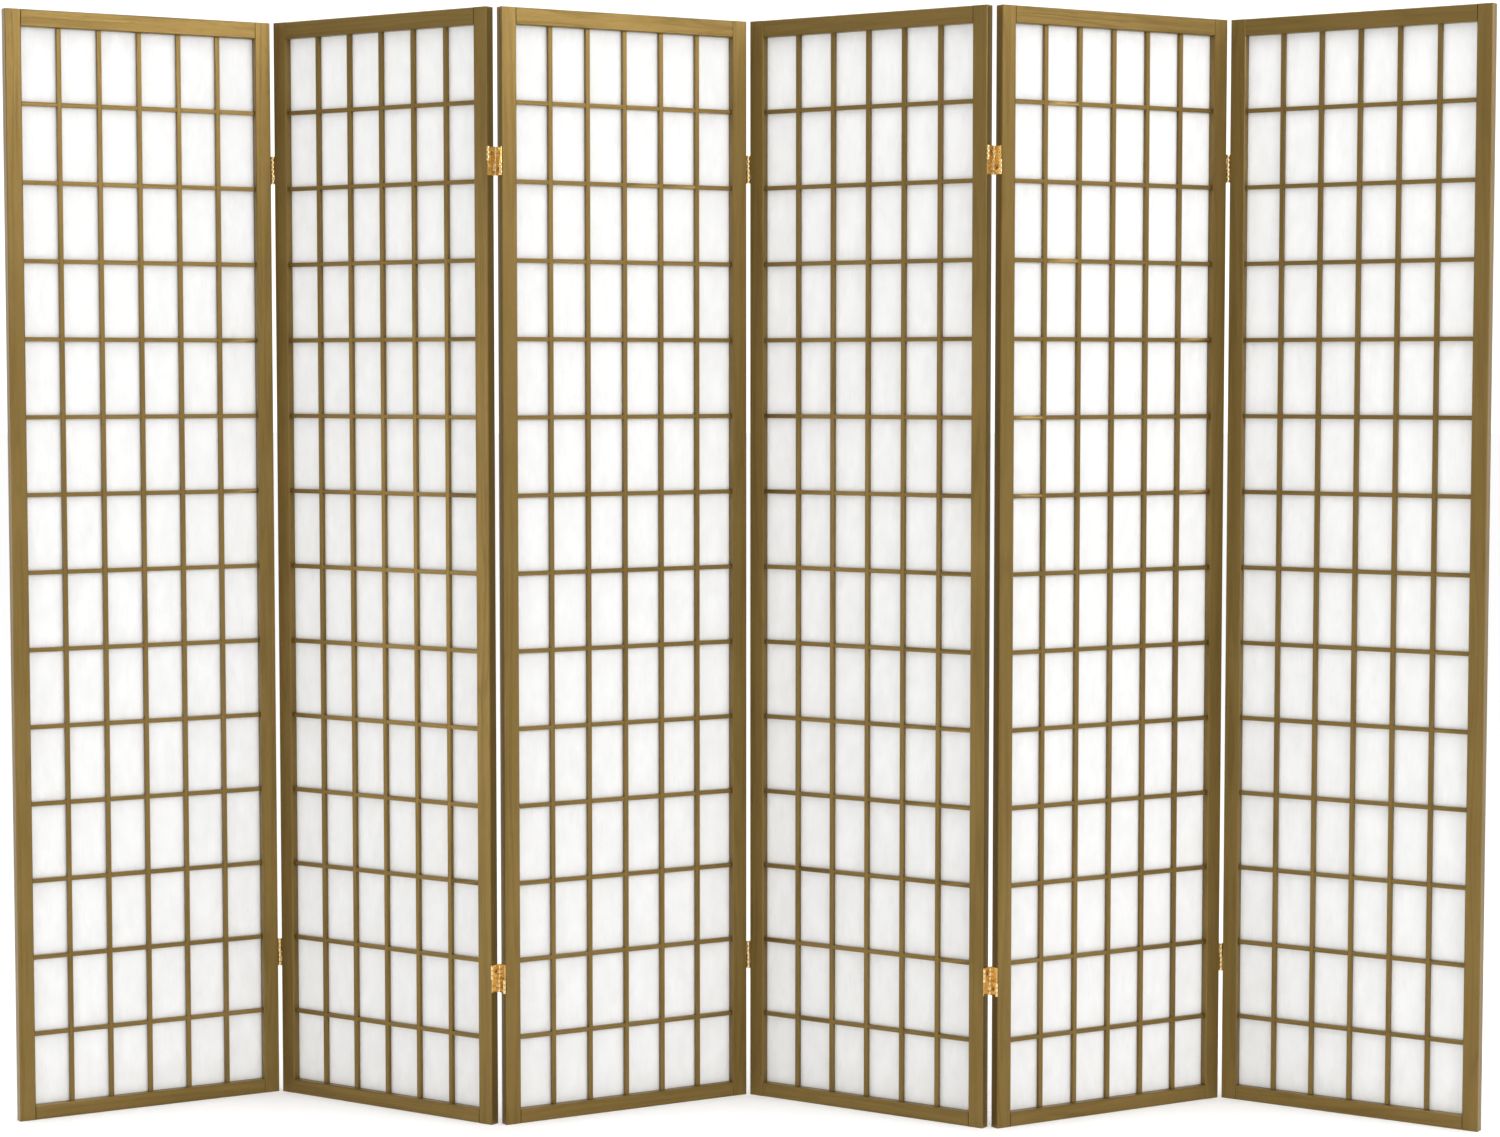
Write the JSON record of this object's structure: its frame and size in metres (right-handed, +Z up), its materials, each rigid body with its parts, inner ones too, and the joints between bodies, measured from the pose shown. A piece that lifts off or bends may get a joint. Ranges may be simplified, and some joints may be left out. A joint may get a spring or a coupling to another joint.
{
  "type": "folding shoji screen",
  "caption": "Freestanding folding screen: gold-finished wood frames with a slat lattice over white paper, standing in a zigzag on double-action brass hinges.",
  "frame": {"origin": "centre of the standing footprint, at floor level", "axes": "+X along the row of panels, +Y towards the back of the screen, +Z up"},
  "size_m": [2.357, 0.2554, 1.7844],
  "materials": {
    "frame_gold": "gold painted wood, semi-gloss",
    "lattice_gold": "gold painted wood, semi-gloss",
    "paper": "matt white fibre paper",
    "hinge_brass": "polished",
    "fastener_brass": "polished"
  },
  "bodies": {
    "panel_1": {"panel_1_stile_left": "frame_gold", "panel_1_stile_right": "frame_gold", "panel_1_rail_top": "frame_gold", "panel_1_rail_bottom": "frame_gold", "panel_1_lattice_front": "lattice_gold", "panel_1_lattice_back": "lattice_gold", "panel_1_paper": "paper", "panel_1_hinge_leaves": "hinge_brass", "panel_1_hinge_links": "hinge_brass", "panel_1_hinge_fasteners": "fastener_brass"},
    "panel_2": {"panel_2_stile_left": "frame_gold", "panel_2_stile_right": "frame_gold", "panel_2_rail_top": "frame_gold", "panel_2_rail_bottom": "frame_gold", "panel_2_lattice_front": "lattice_gold", "panel_2_lattice_back": "lattice_gold", "panel_2_paper": "paper", "panel_2_hinge_leaves": "hinge_brass", "panel_2_hinge_links": "hinge_brass", "panel_2_hinge_fasteners": "fastener_brass"},
    "panel_3": {"panel_3_stile_left": "frame_gold", "panel_3_stile_right": "frame_gold", "panel_3_rail_top": "frame_gold", "panel_3_rail_bottom": "frame_gold", "panel_3_lattice_front": "lattice_gold", "panel_3_lattice_back": "lattice_gold", "panel_3_paper": "paper", "panel_3_hinge_leaves": "hinge_brass", "panel_3_hinge_links": "hinge_brass", "panel_3_hinge_fasteners": "fastener_brass"},
    "panel_4": {"panel_4_stile_left": "frame_gold", "panel_4_stile_right": "frame_gold", "panel_4_rail_top": "frame_gold", "panel_4_rail_bottom": "frame_gold", "panel_4_lattice_front": "lattice_gold", "panel_4_lattice_back": "lattice_gold", "panel_4_paper": "paper", "panel_4_hinge_leaves": "hinge_brass", "panel_4_hinge_links": "hinge_brass", "panel_4_hinge_fasteners": "fastener_brass"},
    "panel_5": {"panel_5_stile_left": "frame_gold", "panel_5_stile_right": "frame_gold", "panel_5_rail_top": "frame_gold", "panel_5_rail_bottom": "frame_gold", "panel_5_lattice_front": "lattice_gold", "panel_5_lattice_back": "lattice_gold", "panel_5_paper": "paper", "panel_5_hinge_leaves": "hinge_brass", "panel_5_hinge_links": "hinge_brass", "panel_5_hinge_fasteners": "fastener_brass"},
    "panel_6": {"panel_6_stile_left": "frame_gold", "panel_6_stile_right": "frame_gold", "panel_6_rail_top": "frame_gold", "panel_6_rail_bottom": "frame_gold", "panel_6_lattice_front": "lattice_gold", "panel_6_lattice_back": "lattice_gold", "panel_6_paper": "paper", "panel_6_hinge_leaves": "hinge_brass", "panel_6_hinge_links": "hinge_brass", "panel_6_hinge_fasteners": "fastener_brass"}
  },
  "joints": [
    {"name": "fold_panels_3_4", "type": "hinge", "parent": "panel_3", "child": "panel_4", "pos_m": [0, 0.10909, 0.8922], "axis": [0, 0, -1], "range_deg": [-62.8, 117.2]},
    {"name": "fold_panels_4_5", "type": "hinge", "parent": "panel_4", "child": "panel_5", "pos_m": [0.39391, -0.10909, 0.8922], "axis": [0, 0, 1], "range_deg": [-62.8, 117.2]},
    {"name": "fold_panels_5_6", "type": "hinge", "parent": "panel_5", "child": "panel_6", "pos_m": [0.78782, 0.10909, 0.8922], "axis": [0, 0, -1], "range_deg": [-62.8, 117.2]},
    {"name": "fold_panels_2_3", "type": "hinge", "parent": "panel_3", "child": "panel_2", "pos_m": [-0.39391, -0.10909, 0.8922], "axis": [0, 0, -1], "range_deg": [-62.8, 117.2]},
    {"name": "fold_panels_1_2", "type": "hinge", "parent": "panel_2", "child": "panel_1", "pos_m": [-0.78782, 0.10909, 0.8922], "axis": [0, 0, 1], "range_deg": [-62.8, 117.2]}
  ]
}
